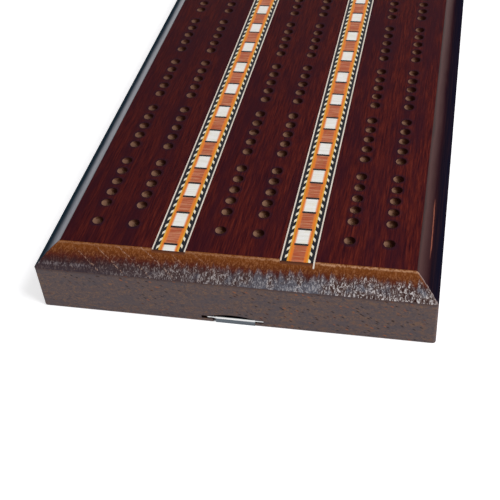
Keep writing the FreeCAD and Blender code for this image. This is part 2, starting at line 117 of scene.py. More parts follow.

# marks of stain, wear and hands
STAIN_POOL = 2.6          # radius of the stain round a hole
STAIN_RUN = 2.4           # how far it ran down the hole's wall
UNDER_SHOULDER_DARKENING = 1.0          # how far the end face is darker, under the shoulder
# the grey skin of the end bevels is partly painted sheen, a reflection of the bright room
SMOOTH_MIDDLE = 14.0      # x round which the grey skin of the end bevels lies smooth,
SMOOTH_REACH = (8.0, 22.0)   # and how far from there it starts and ends to be torn
CREASE_RUB = 0.45         # from the crease down to the middle of its rubbed line
TOOTH_HALF = 1.4          # half the step between two peaks of the grey skin
PORE_ROWS = 7.0           # step between two rows of open pores on the end bevels
PORE_ROW_SLANT = -1.6     # how far a row moves across for each millimetre down the slope
SCUFF_DROP = 5.6          # from the crease to the row of scuffs in the left-hand corners
SCRATCH_MIDDLE = 26.0     # from the near end to the middle of the scratch in the right-hand bevel
SCRATCH_REACH = (13.0, 8.0)  # from there to its ends, and to where it is at its deepest
SCRATCH_OUT = 3.3         # how far out from the crease it would run without its wander inwards

ROOM_LIGHT = 0.36         # strength at which the room lights the board
PAPER_GLOW = 0.5          # what the paper needs to read as white
PAPER_REACH = 3000        # from the middle of the board, in millimetres
PAPER_UNDER = 0.5         # how far the unlit paper under the board stays inside its walls


# ---------------------------------------------------------------- small helpers
def linear(code):
    """An sRGB hex colour as the linear RGBA that shaders take."""
    channels = [int(code[place:place + 2], 16) / 255 for place in (1, 3, 5)]
    return tuple(c / 12.92 if c <= 0.04045 else ((c + 0.055) / 1.055) ** 2.4 for c in channels) + (1.0,)


def add(tree, kind, links=None, stops=(), **settings):
    """Adds a shader node. links maps an input's name or number to a number, a hex colour or another
    node's output. stops are a colour ramp's positions and colours, in rising order."""
    node = tree.nodes.new("ShaderNode" + kind)
    for name, setting in settings.items():
        setattr(node, name, setting)
    for place, (position, code) in enumerate(stops):
        if place > 1:
            node.color_ramp.elements.new(position)
        node.color_ramp.elements[place].position = position
        node.color_ramp.elements[place].color = linear(code)
    for name, source in (links or {}).items():
        if isinstance(source, bpy.types.Node):
            tree.links.new(source.outputs[0], node.inputs[name])
        elif isinstance(source, bpy.types.NodeSocket):
            tree.links.new(source, node.inputs[name])
        else:
            node.inputs[name].default_value = linear(source) if isinstance(source, str) else source
    return node


def new_material(name):
    """An empty node material and its tree."""
    material = bpy.data.materials.new(name)
    material.use_nodes = True
    material.node_tree.nodes.clear()
    return material, material.node_tree


def finished(material, sockets):
    """Ends a material with its shader, the sockets set or linked, and its output."""
    shader = add(material.node_tree, "BsdfPrincipled", sockets)
    add(material.node_tree, "OutputMaterial", {"Surface": shader})
    return material


def in_millimetres(tree):
    """The board's own coordinates in millimetres."""
    place = add(tree, "TexCoord").outputs["Object"]
    return add(tree, "VectorMath", {0: place, 1: (1000, 1000, 1000)}, operation="MULTIPLY")


def pattern(tree, kind, place, cell, looks):
    """A noise or cell pattern whose grains are as large as cell says, in millimetres along x, y and z."""
    spread = add(tree, "VectorMath", {0: place, 1: cell}, operation="DIVIDE")
    return add(tree, kind, {"Vector": spread, "Scale": 1.0, **looks})


def away_from(tree, value, middle):
    """How far a value is from a middle, on either side of it."""
    offset = add(tree, "Math", {0: value, 1: middle}, operation="SUBTRACT")
    return add(tree, "Math", {0: offset}, operation="ABSOLUTE")


def shows_background(tree):
    """1 for rays that see the background: from the eye, and sent on by gloss, metal or glass."""
    path = add(tree, "LightPath")
    seen = add(tree, "Math", {0: path.outputs["Is Camera Ray"], 1: path.outputs["Is Glossy Ray"]},
               operation="MAXIMUM")
    return add(tree, "Math", {0: seen, 1: path.outputs["Is Transmission Ray"]}, operation="MAXIMUM")


def from_bmesh(name, shape):
    """A new object of the shape, which is used up."""
    mesh_data = bpy.data.meshes.new(name)
    shape.to_mesh(mesh_data)
    shape.free()
    piece = bpy.data.objects.new(name, mesh_data)
    bpy.context.scene.collection.objects.link(piece)
    return piece


def loft(shape, rings):
    """Joins rings of equal count with quads and closes both ends. Points are in millimetres."""
    loops = [[shape.verts.new(Vector(point) * MM) for point in ring] for ring in rings]
    for low, high in zip(loops, loops[1:]):
        for index in range(len(low)):
            after = (index + 1) % len(low)
            shape.faces.new((low[index], low[after], high[after], high[index]))
    shape.faces.new(list(reversed(loops[0])))
    shape.faces.new(loops[-1])


def block(shape, low, high):
    """A box between two corners."""
    outline = [(low[0], low[1]), (high[0], low[1]), (high[0], high[1]), (low[0], high[1])]
    loft(shape, [[(x, y, z) for x, y in outline] for z in (low[2], high[2])])


def cut(piece, cutter):
    """Cuts the cutter out of the piece for good and removes it."""
    step = piece.modifiers.new("cut", "BOOLEAN")
    step.operation = "DIFFERENCE"
    step.solver = "EXACT"
    step.object = cutter
    bpy.context.view_layer.update()
    graph = bpy.context.evaluated_depsgraph_get()
    result = bpy.data.meshes.new_from_object(piece.evaluated_get(graph))
    piece.modifiers.clear()
    piece.data = result
    bpy.data.objects.remove(cutter)


# ---------------------------------------------------------------- materials of the board
def from_nearest_hole(tree, x, y):
    """Millimetres to the axis of the nearest scoring hole, worked out from the sizes of the holes."""
    side = add(tree, "Math", {0: x}, operation="ABSOLUTE")
    rows = (LANES[1] + ROW_SPACING / 2, LANES[2] - ROW_SPACING / 2, LANES[2] + ROW_SPACING / 2)
    across, *others = [away_from(tree, side, row) for row in rows]
    for other in others:
        across = add(tree, "Math", {0: across, 1: other}, operation="MINIMUM")
    first = NEAR_END + END_MARGIN + START_GAP
    # half a pitch before the first hole of a group, so that each hole owns the pitch round it
    along = add(tree, "Math", {0: y, 1: first - HOLE_PITCH / 2}, operation="SUBTRACT")
    along = add(tree, "Math", {0: along, 1: GROUP_STEP}, operation="FLOORED_MODULO")
    between = add(tree, "Math", {0: along, 1: HOLES_IN_GROUP * HOLE_PITCH}, operation="GREATER_THAN")
    end = add(tree, "Math", {0: y}, operation="ABSOLUTE")
    last = -NEAR_END - END_MARGIN + HOLE_PITCH / 2
    beyond = add(tree, "Math", {0: end, 1: last}, operation="GREATER_THAN")
    without = add(tree, "Math", {0: between, 1: beyond}, operation="MAXIMUM")
    along = add(tree, "Math", {0: along, 1: HOLE_PITCH}, operation="FLOORED_MODULO")
    along = away_from(tree, along, HOLE_PITCH / 2)
    # between two groups and beyond the last holes the distance is made large
    away = add(tree, "Math", {0: without, 1: HOLE_PITCH, 2: along}, operation="MULTIPLY_ADD")
    offset = add(tree, "CombineXYZ", {0: across, 1: away})
    return add(tree, "VectorMath", {0: offset}, operation="LENGTH").outputs["Value"]


def stained_face():
    """Mahogany planed flat, stained dark red-brown and wiped with a thin varnish: a deep colour under a
    low sheen, fine reddish and darker streaks along the board, and bluer stain pooled round the holes."""
    material, tree = new_material("mahogany_stained_and_wiped")
    place = in_millimetres(tree)
    x, y, _ = add(tree, "SeparateXYZ", {0: place}).outputs
    # fibres 0.4 mm across and 7 mm long: real ones are finer, and would not show
    fibres = pattern(tree, "TexNoise", place, (0.42, 7.0, 0.42), {"Detail": 4.0, "Roughness": 0.7})
    colour = add(tree, "ValToRGB", {"Fac": fibres},
                 ((0.32, "#260912"), (0.44, "#3D1316"), (0.55, "#511B17"), (0.7, "#66281F")))
    # growth layers 7 mm across, some stained redder and some darker
    layers = pattern(tree, "TexNoise", place, (6.7, 50.0, 6.7), {"Detail": 4.0, "Roughness": 0.6})
    amount = add(tree, "MapRange", {"Value": layers, "From Min": 0.45, "From Max": 0.62,
                                    "To Min": 0.0, "To Max": 0.8})
    colour = add(tree, "MixRGB", {"Fac": amount, "Color1": colour, "Color2": "#30101A"})
    # the stain was laid on thicker towards the left, and a little towards the far end
    thicker = add(tree, "Math", {0: x, 1: -2.3, 2: y}, operation="MULTIPLY_ADD")
    thicker = add(tree, "MapRange", {"Value": thicker, "From Min": -186.0, "From Max": 71.0,
                                     "To Min": 0.0, "To Max": 0.5})
    colour = add(tree, "MixRGB", {"Fac": thicker, "Color1": colour, "Color2": "#2A080E"})
    # one pore to each 0.45 by 5 mm, about 0.15 mm across and 2 mm long
    pores = pattern(tree, "TexVoronoi", place, (0.45, 5.0, 0.45), {})
    hollow = add(tree, "MapRange", {"Value": pores, "From Min": 0.24, "From Max": 0.1,
                                    "To Min": 0.0, "To Max": 0.4})
    colour = add(tree, "MixRGB", {"Fac": hollow, "Color1": colour, "Color2": "#200C14"})
    near = from_nearest_hole(tree, x, y)
    pooled = add(tree, "MapRange", {"Value": near, "From Min": HOLE_RADIUS, "From Max": STAIN_POOL,
                                    "To Min": 0.75, "To Max": 0.0})
    colour = add(tree, "MixRGB", {"Fac": pooled, "Color1": colour, "Color2": "#26131F"})
    bump = add(tree, "Bump", {"Strength": 0.3, "Distance": 0.00004, "Height": hollow}, invert=True)
    return finished(material, {"Base Color": colour, "Normal": bump, "Roughness": 0.5,
                               "Specular IOR Level": 0.015})


def slanted_wood(tree, out, mottle, torn):
    """The stained wood of an end bevel: orange-brown at the crease and darker down the slope, mottled up
    to 1.7 mm up and down it, with golden flecks."""
    depth = add(tree, "Math", {0: mottle, 1: 3.4, 2: -1.7}, operation="MULTIPLY_ADD")
    depth = add(tree, "Math", {0: depth, 1: out}, operation="ADD")
    share = add(tree, "MapRange", {"Value": depth, "From Min": 0.0, "From Max": END_BEVEL_RUN})
    # the grey-violet stops at the foot of the slope are partly painted sheen, like the grey skin
    colour = add(tree, "ValToRGB", {"Fac": share},
                 ((0.0, "#74401A"), (0.25, "#6B3817"), (0.4, "#5B2D18"), (0.5, "#51231A"),
                  (0.62, "#3F1F1E"), (0.76, "#37272B"), (1.0, "#3E353B")))
    gold = add(tree, "MapRange", {"Value": torn, "From Min": 0.5, "From Max": 0.62})
    higher = add(tree, "MapRange", {"Value": share, "From Min": 0.35, "From Max": 0.6,
                                    "To Min": 0.5, "To Max": 0.08})
    gold = add(tree, "Math", {0: gold, 1: higher}, operation="MULTIPLY")
    return add(tree, "MixRGB", {"Fac": gold, "Color1": colour, "Color2": "#955E34"})


def grey_skin_and_painted_sheen(tree, colour, x, out, across, slope, torn):
    """Old varnish low on an end bevel, grey, smooth and bluish here and torn there: its grey and bluish
    colour is partly painted sheen, a reflection of the bright room, and its pale flecks are painted
    glints.
    """
    # its upper edge wanders up to 3.5 mm, with jagged peaks 3 mm apart, and the painted sheen is
    # strongest to the right
    peaks = pattern(tree, "TexNoise", slope, (2.0, 20.0, 1.0), {"Detail": 5.0, "Roughness": 0.7})
    skin = add(tree, "Math", {0: peaks, 1: 7.0, 2: -3.5}, operation="MULTIPLY_ADD")
    skin = add(tree, "Math", {0: skin, 1: out}, operation="ADD")
    tooth = add(tree, "Math", {0: peaks, 1: 4.0, 2: x}, operation="MULTIPLY_ADD")
    tooth = add(tree, "Math", {0: tooth, 1: TOOTH_HALF}, operation="PINGPONG")
    skin = add(tree, "Math", {0: tooth, 1: 1.0, 2: skin}, operation="MULTIPLY_ADD")
    skin = add(tree, "Math", {0: across, 1: 1.2, 2: skin}, operation="MULTIPLY_ADD")
    skin = add(tree, "MapRange", {"Value": skin, "From Min": 4.5, "From Max": 6.3})
    strength = add(tree, "MapRange", {"Value": across, "From Min": 0.14, "From Max": 0.7,
                                      "To Min": 0.03, "To Max": 1.0})
    skin = add(tree, "Math", {0: skin, 1: strength}, operation="MULTIPLY")
    grey = add(tree, "MapRange", {"Value": skin, "To Max": 0.72})
    # smooth patches 4 mm across, most of them right of the middle, painted a bluer grey as a smoother
    # reflection
    smooth = pattern(tree, "TexNoise", slope, (4.0, 3.3, 1.0), {"Detail": 2.0, "Roughness": 0.6})
    off_middle = away_from(tree, x, SMOOTH_MIDDLE)
    more = add(tree, "MapRange", {"Value": off_middle, "From Min": SMOOTH_REACH[0],
                                  "From Max": SMOOTH_REACH[1], "To Min": 0.1, "To Max": -0.12})
    smooth = add(tree, "Math", {0: smooth, 1: more}, operation="ADD")
    smooth = add(tree, "MapRange", {"Value": smooth, "From Min": 0.44, "From Max": 0.6})
    varnish = add(tree, "MixRGB", {"Fac": smooth, "Color1": "#66544F", "Color2": "#6D6F79"})
    colour = add(tree, "MixRGB", {"Fac": grey, "Color1": colour, "Color2": varnish})
    # painted glints as pale flecks, and dark pits, where it is torn
    glints_and_pits = add(tree, "MapRange", {"Value": smooth, "To Min": 1.0, "To Max": 0.45})
    glints_and_pits = add(tree, "Math", {0: glints_and_pits, 1: skin}, operation="MULTIPLY")
    for low, high, least, most, code in ((0.54, 0.6, 0.02, 0.85, "#D0CACA"),
                                         (0.47, 0.38, 0.2, 1.0, "#2F1B18")):
        marks = add(tree, "MapRange", {"Value": torn, "From Min": low, "From Max": high})
        here = add(tree, "MapRange", {"Value": glints_and_pits, "To Min": least, "To Max": most})
        marks = add(tree, "Math", {0: marks, 1: here}, operation="MULTIPLY")
        colour = add(tree, "MixRGB", {"Fac": marks, "Color1": colour, "Color2": code})
    return colour


def pores_and_scuffs(tree, colour, x, out, across, mottle, torn):
    """Left on an end bevel: rows of open pores, and a row of grey scuffs just above the end face."""
    row = add(tree, "Math", {0: out, 1: PORE_ROW_SLANT, 2: x}, operation="MULTIPLY_ADD")
    row = add(tree, "Math", {0: mottle, 1: 2.0, 2: row}, operation="MULTIPLY_ADD")
    row = add(tree, "Math", {0: row, 1: PORE_ROWS}, operation="FLOORED_MODULO")
    row = away_from(tree, row, PORE_ROWS / 2)
    row = add(tree, "MapRange", {"Value": row, "From Min": 0.3, "From Max": 0.1})
    dots = add(tree, "MapRange", {"Value": torn, "From Min": 0.49, "From Max": 0.56})
    left = add(tree, "MapRange", {"Value": across, "From Min": 0.5, "From Max": 0.3,
                                  "To Min": 0.0, "To Max": 0.75})
    first = add(tree, "MapRange", {"Value": across, "From Min": 0.09, "From Max": 0.12})
    for share in (dots, left, first):
        row = add(tree, "Math", {0: row, 1: share}, operation="MULTIPLY")
    colour = add(tree, "MixRGB", {"Fac": row, "Color1": colour, "Color2": "#A88674"})
    scuff = away_from(tree, out, SCUFF_DROP)
    scuff = add(tree, "MapRange", {"Value": scuff, "From Min": 0.55, "From Max": 0.2})
    corner = add(tree, "MapRange", {"Value": across, "From Min": 0.17, "From Max": 0.14,
                                    "To Min": 0.0, "To Max": 0.35})
    for share in (corner, dots):
        scuff = add(tree, "Math", {0: scuff, 1: share}, operation="MULTIPLY")
    return add(tree, "MixRGB", {"Fac": scuff, "Color1": colour, "Color2": "#9A9296"})


def mitre_and_sliver(tree, colour, x, y, out):
    """A pale rubbed ridge along the right-hand mitres of the end bevels, and the sliver of the right-hand
    band's outermost line that the plane left on the near one."""
    mitre = add(tree, "Math", {0: out, 1: SIDE_BEVEL_RUN / END_BEVEL_RUN, 2: FACE_X},
                operation="MULTIPLY_ADD")
    mitre = add(tree, "Math", {0: mitre, 1: x}, operation="SUBTRACT")
    mitre = add(tree, "MapRange", {"Value": mitre, "From Min": 0.45, "From Max": 0.15,
                                   "To Min": 0.0, "To Max": 0.65})
    colour = add(tree, "MixRGB", {"Fac": mitre, "Color1": colour, "Color2": "#9A8886"})
    sliver = away_from(tree, x, SLIVER_X)
    sliver = add(tree, "MapRange", {"Value": sliver, "From Min": 0.26, "From Max": 0.14})
    lowest = -FACE_Y - SLIVER_REACH
    tip = add(tree, "MapRange", {"Value": y, "From Min": lowest, "From Max": lowest + SLIVER_TIP})
    near = add(tree, "Math", {0: y, 1: 0.0}, operation="LESS_THAN")
    for share in (tip, near):
        sliver = add(tree, "Math", {0: sliver, 1: share}, operation="MULTIPLY")
    return add(tree, "MixRGB", {"Fac": sliver, "Color1": colour, "Color2": "#E0D6C8"})


def rubbed_crease(tree, colour, out, across, slope, mottle):
    """The crease of an end bevel, rubbed through to bare wood in a line that wanders up to 0.9 mm, most
    of all to the right."""
    ragged = pattern(tree, "TexNoise", slope, (1.25, 2.5, 1.0), {"Detail": 4.0, "Roughness": 0.8})
    line = add(tree, "Math", {0: ragged, 1: 1.8, 2: -0.9 - CREASE_RUB}, operation="MULTIPLY_ADD")
    line = add(tree, "Math", {0: line, 1: out}, operation="ADD")
    line = add(tree, "Math", {0: line}, operation="ABSOLUTE")
    line = add(tree, "MapRange", {"Value": line, "From Min": 0.36, "From Max": 0.06})
    rubbed = add(tree, "MapRange", {"Value": across, "From Min": 0.45, "From Max": 0.72,
                                    "To Min": 0.28, "To Max": 0.8})
    nicks = add(tree, "MapRange", {"Value": mottle, "From Min": 0.42, "From Max": 0.48,
                                   "To Min": 0.15, "To Max": 1.0})
    for share in (rubbed, nicks):
        line = add(tree, "Math", {0: line, 1: share}, operation="MULTIPLY")
    return add(tree, "MixRGB", {"Fac": line, "Color1": colour, "Color2": "#BA8C6A"})


def end_bevel():
    """Mahogany planed on the slant across its grain: the cut fibres drink the stain unevenly.
    Orange-brown wood shows below the crease, which is rubbed through, and lower down a grey skin of old
    varnish over torn grain, with pale flecks and dark pits: its grey is partly painted sheen, a
    reflection of the bright room, and the pale flecks are painted glints."""
    material, tree = new_material("mahogany_planed_on_the_slant")
    x, y, _ = add(tree, "SeparateXYZ", {0: in_millimetres(tree)}).outputs
    end = add(tree, "Math", {0: y}, operation="ABSOLUTE")
    out = add(tree, "Math", {0: end, 1: FACE_Y}, operation="SUBTRACT")
    across = add(tree, "MapRange", {"Value": x, "From Min": -WIDTH / 2, "From Max": WIDTH / 2})
    slope = add(tree, "CombineXYZ", {0: x, 1: out})
    # stain mottled over 1.5 mm, and torn grain in flecks 0.5 mm across and 0.8 mm down the slope, which
    # are finer in the real wood
    mottle = pattern(tree, "TexNoise", slope, (1.43, 2.2, 1.0), {"Detail": 6.0, "Roughness": 0.75})
    torn = pattern(tree, "TexNoise", slope, (0.48, 0.77, 1.0),
                   {"Detail": 1.5, "Roughness": 0.8, "Distortion": 1.2})
    colour = slanted_wood(tree, out, mottle, torn)
    colour = grey_skin_and_painted_sheen(tree, colour, x, out, across, slope, torn)
    colour = pores_and_scuffs(tree, colour, x, out, across, mottle, torn)
    colour = mitre_and_sliver(tree, colour, x, y, out)
    colour = rubbed_crease(tree, colour, out, across, slope, mottle)
    bump = add(tree, "Bump", {"Strength": 0.6, "Distance": 0.0001, "Height": torn})
    return finished(material, {"Base Color": colour, "Normal": bump, "Roughness": 0.5,
                               "Specular IOR Level": 0.02})


def side_bevel():
    """Mahogany planed along its grain, stained nearly black towards the outside and varnished: the
    varnish keeps a satin skin that mirrors the room near the crease, and hands have rubbed it off the
    outer half. The colours hold painted reflection as well: pale grey-blue near the crease and blue-black
    outside on the left, a greyish band at the crease and bluish black outside on the right."""
    material, tree = new_material("mahogany_planed_along_the_grain")
    place = in_millimetres(tree)
    x, y, _ = add(tree, "SeparateXYZ", {0: place}).outputs
    side = add(tree, "Math", {0: x}, operation="ABSOLUTE")
    out = add(tree, "Math", {0: side, 1: FACE_X}, operation="SUBTRACT")
    # hand work wanders by half a millimetre over 20 mm
    wander = pattern(tree, "TexNoise", place, (3.3, 20.0, 3.3), {"Detail": 4.0, "Roughness": 0.6})
    depth = add(tree, "Math", {0: wander, 1: 1.6, 2: -0.8}, operation="MULTIPLY_ADD")
    depth = add(tree, "Math", {0: depth, 1: out}, operation="ADD")
    share = add(tree, "MapRange", {"Value": depth, "From Min": 0.0, "From Max": SIDE_BEVEL_RUN})
    # painted reflection: near the crease the left ramp is pale grey-blue and the right one has a lighter
    # greyish band, and outside both turn blue-black
    right = add(tree, "ValToRGB", {"Fac": share},
                ((0.0, "#2A1616"), (0.12, "#442524"), (0.35, "#34181B"), (0.6, "#17101A"),
                 (1.0, "#0E1020")))
    left = add(tree, "ValToRGB", {"Fac": share},
               ((0.0, "#66646C"), (0.2, "#787A86"), (0.42, "#525964"), (0.62, "#22333F"),
                (1.0, "#1E3443")))
    is_right = add(tree, "Math", {0: x, 1: 0.0}, operation="GREATER_THAN")
    colour = add(tree, "MixRGB", {"Fac": is_right, "Color1": left, "Color2": right})
    # fibres 0.3 mm across and 20 mm long: real ones are finer, and would not show
    fibres = pattern(tree, "TexNoise", place, (0.33, 20.0, 0.33), {"Detail": 2.0})
    amount = add(tree, "MapRange", {"Value": fibres, "From Min": 0.5, "From Max": 0.75,
                                    "To Min": 0.0, "To Max": 0.3})
    colour = add(tree, "MixRGB", {"Fac": amount, "Color1": colour, "Color2": "#40251F"})
    # one long scratch in the near half of the right-hand bevel
    path = add(tree, "Math", {0: wander, 1: 1.0, 2: -SCRATCH_OUT}, operation="MULTIPLY_ADD")
    path = add(tree, "Math", {0: path, 1: out}, operation="ADD")
    path = add(tree, "Math", {0: path}, operation="ABSOLUTE")
    scratch = add(tree, "MapRange", {"Value": path, "From Min": 0.17, "From Max": 0.06})
    reach = away_from(tree, y, NEAR_END + SCRATCH_MIDDLE)
    reach = add(tree, "MapRange", {"Value": reach, "From Min": SCRATCH_REACH[0],
                                   "From Max": SCRATCH_REACH[1], "To Min": 0.0, "To Max": 0.8})
    for share in (reach, is_right):
        scratch = add(tree, "Math", {0: scratch, 1: share}, operation="MULTIPLY")
    colour = add(tree, "MixRGB", {"Fac": scratch, "Color1": colour, "Color2": "#9A5A48"})
    # the left-hand side has kept about twice as much varnish
    most = add(tree, "MapRange", {"Value": is_right, "To Min": 0.85, "To Max": 0.45})
    varnish = add(tree, "MapRange", {"Value": depth, "From Min": 0.7, "From Max": 3.0,
                                     "To Min": most, "To Max": 0.0})
    return finished(material, {"Base Color": colour, "Coat Weight": varnish, "Coat Roughness": 0.25,
                               "Roughness": 0.6, "Specular IOR Level": 0.0})


def end_grain():
    """Sawn and sanded end grain under one coat: matt grey-brown, mottled finely, with the cut ends of
    pores as orange and dark specks, and faint slanting swirls of the growth rings."""
    material, tree = new_material("mahogany_sawn_end_grain")
    place = in_millimetres(tree)
    x, _, z = add(tree, "SeparateXYZ", {0: place}).outputs
    # mottled over 1 mm
    mottle = pattern(tree, "TexNoise", place, (1.1, 10.0, 0.77),
                     {"Detail": 4.0, "Roughness": 0.9, "Distortion": 0.8})
    # the grey in these colours is partly a painted reflection of the white floor
    colour = add(tree, "ValToRGB", {"Fac": mottle},
                 ((0.36, "#443B3F"), (0.46, "#5A4E50"), (0.54, "#655450"), (0.62, "#7E5F48")))
    # growth rings 4.5 mm apart
    rings = pattern(tree, "TexNoise", place, (16.7, 50.0, 4.5), {"Detail": 3.0, "Distortion": 2.0})
    shade = add(tree, "MapRange", {"Value": rings, "From Min": 0.46, "From Max": 0.58,
                                   "To Min": 0.0, "To Max": 0.5})
    colour = add(tree, "MixRGB", {"Fac": shade, "Color1": colour, "Color2": "#504A50"})
    # to the right, patches 3 mm across are left warmer by the stain
    warm = pattern(tree, "TexNoise", place, (3.3, 20.0, 2.0), {"Detail": 6.0, "Roughness": 0.85})
    warm = add(tree, "MapRange", {"Value": warm, "From Min": 0.5, "From Max": 0.6})
    amount = add(tree, "MapRange", {"Value": x, "From Min": -WIDTH / 2, "From Max": WIDTH / 4,
                                    "To Min": 0.05, "To Max": 0.5})
    warm = add(tree, "Math", {0: warm, 1: amount}, operation="MULTIPLY")
    colour = add(tree, "MixRGB", {"Fac": warm, "Color1": colour, "Color2": "#7C5B44"})
    # pore ends 0.4 mm high and 0.9 mm long, drawn out along the rings, in clusters 14 mm across, most of
    # them to the right
    slant = add(tree, "Math", {0: x, 1: 0.35, 2: z}, operation="MULTIPLY_ADD")
    along_rings = add(tree, "CombineXYZ", {0: x, 2: slant})
    pores = pattern(tree, "TexVoronoi", along_rings, (1.67, 1.0, 0.8), {})
    dot = add(tree, "MapRange", {"Value": pores.outputs["Distance"], "From Min": 0.36, "From Max": 0.16})
    cluster = pattern(tree, "TexNoise", place, (14.3, 50.0, 10.0), {"Detail": 1.0})
    cluster = add(tree, "Math", {0: x, 1: 0.0015, 2: cluster}, operation="MULTIPLY_ADD")
    cluster = add(tree, "MapRange", {"Value": cluster, "From Min": 0.38, "From Max": 0.52,
                                     "To Min": 0.15, "To Max": 1.0})
    dot = add(tree, "Math", {0: dot, 1: cluster}, operation="MULTIPLY")
    kinds = add(tree, "SeparateColor", {0: pores.outputs["Color"]})
    for kind, above, code in ((0, 0.8, "#965A38"), (1, 0.82, "#2E2224")):
        speck = add(tree, "Math", {0: kinds.outputs[kind], 1: above}, operation="GREATER_THAN")
        speck = add(tree, "Math", {0: speck, 1: dot}, operation="MULTIPLY")
        colour = add(tree, "MixRGB", {"Fac": speck, "Color1": colour, "Color2": code})
    # darker just under the edge of the bevel
    under = add(tree, "MapRange", {"Value": z, "From Min": SHOULDER - UNDER_SHOULDER_DARKENING, "From Max": SHOULDER,
                                   "To Min": 0.0, "To Max": 0.8})
    colour = add(tree, "MixRGB", {"Fac": under, "Color1": colour, "Color2": "#402B2A"})
    bump = add(tree, "Bump", {"Strength": 0.25, "Distance": 0.00006, "Height": mottle})
    return finished(material, {"Base Color": colour, "Normal": bump, "Roughness": 0.6,
                               "Specular IOR Level": 0.15})


def stained_side():
    """Sawn and sanded sides and underside: the same dark stain under a duller coat, in long streaks."""
    material, tree = new_material("mahogany_sanded_side")
    place = in_millimetres(tree)
    # fibres 0.6 mm across and 33 mm long: real ones are finer, and would not show
    fibres = pattern(tree, "TexNoise", place, (0.62, 33.0, 0.62), {"Detail": 4.0, "Roughness": 0.65})
    colour = add(tree, "ValToRGB", {"Fac": fibres},
                 ((0.3, "#2A1518"), (0.5, "#3E1F1F"), (0.72, "#573026")))
    return finished(material, {"Base Color": colour, "Roughness": 0.5, "Specular IOR Level": 0.15})


def bare_cut():
    """Mahogany as the drill and the router left it: brown and matt, with the cutter's scores. Stain has
    run down from the rims of the holes; their right-hand walls are painted nearly black as shade, and
    their left-hand walls lighter as lit from the right."""
    material, tree = new_material("mahogany_drilled_bare")
    place = in_millimetres(tree)
    x, y, z = add(tree, "SeparateXYZ", {0: place}).outputs
    # scores 0.8 mm apart: real ones are finer, and would not show
    scores = pattern(tree, "TexNoise", place, (2.0, 2.0, 0.83), {"Detail": 3.0})
    # painted shade: a wall that faces right is painted lighter as lit from the right, one that faces left
    # darker as shaded, and all are less stained lower down
    wall_facing_for_painted_shade = add(tree, "TexCoord")
    wall_facing_for_painted_shade = add(tree, "SeparateXYZ", {0: wall_facing_for_painted_shade.outputs["Normal"]})
    bare = add(tree, "Math", {0: wall_facing_for_painted_shade, 1: 0.55, 2: 0.45}, operation="MULTIPLY_ADD")
    below = add(tree, "MapRange", {"Value": z, "From Min": THICKNESS - STAIN_RUN, "From Max": THICKNESS,
                                   "To Min": 0.2, "To Max": -0.4})
    bare = add(tree, "Math", {0: bare, 1: below}, operation="ADD")
    bare = add(tree, "Math", {0: scores, 1: 0.8, 2: bare}, operation="MULTIPLY_ADD")
    colour = add(tree, "ValToRGB", {"Fac": bare},
                 ((0.34, "#280B09"), (0.66, "#482418"), (0.92, "#7E5842"), (1.0, "#A67E66")))
    # the thicker stain of the far end and the left ran into the holes too
    stain = add(tree, "Math", {0: x, 1: -0.8, 2: y}, operation="MULTIPLY_ADD")
    stain = add(tree, "MapRange", {"Value": stain, "From Min": -100.0, "From Max": 20.0,
                                   "To Min": 0.0, "To Max": 0.42})
    colour = add(tree, "MixRGB", {"Fac": stain, "Color1": colour, "Color2": "#44201C"})
    return finished(material, {"Base Color": colour, "Roughness": 0.8, "Specular IOR Level": 0.1})


def sawn_kerf():
    """The saw kerfs and the finger relief: stain soaked deep into torn fibres, nearly black."""
    material, tree = new_material("mahogany_sawn_kerf")
    place = in_millimetres(tree)
    # torn fibres 0.5 mm across and 3 mm long
    torn = pattern(tree, "TexNoise", place, (0.5, 3.3, 0.5), {"Detail": 3.0})
    colour = add(tree, "ValToRGB", {"Fac": torn}, ((0.3, "#140907"), (0.7, "#2E150C")))
    return finished(material, {"Base Color": colour, "Roughness": 0.9, "Specular IOR Level": 0.05})


# ---------------------------------------------------------------- materials of the bands and the cover
def varnished_veneer(material, colour, y, shows=BAND_SHOWS):
    """Ends a veneer's material. The bevels were planed and stained after the bands were laid, so the
    stain covers the veneers beyond the crease, darker at their cut ends."""
    tree = material.node_tree
    end = add(tree, "Math", {0: y}, operation="ABSOLUTE")
    stain = add(tree, "MapRange", {"Value": end, "From Min": FACE_Y + shows,
                                   "From Max": FACE_Y + BAND_END})
    stain = add(tree, "MixRGB", {"Fac": stain, "Color1": "#3C1F14", "Color2": "#6A3A20"})
    covered = add(tree, "Math", {0: end, 1: FACE_Y + shows}, operation="GREATER_THAN")
    colour = add(tree, "MixRGB", {"Fac": covered, "Color1": colour, "Color2": stain})
    return finished(material, {"Base Color": colour, "Roughness": 0.4, "Specular IOR Level": 0.1})


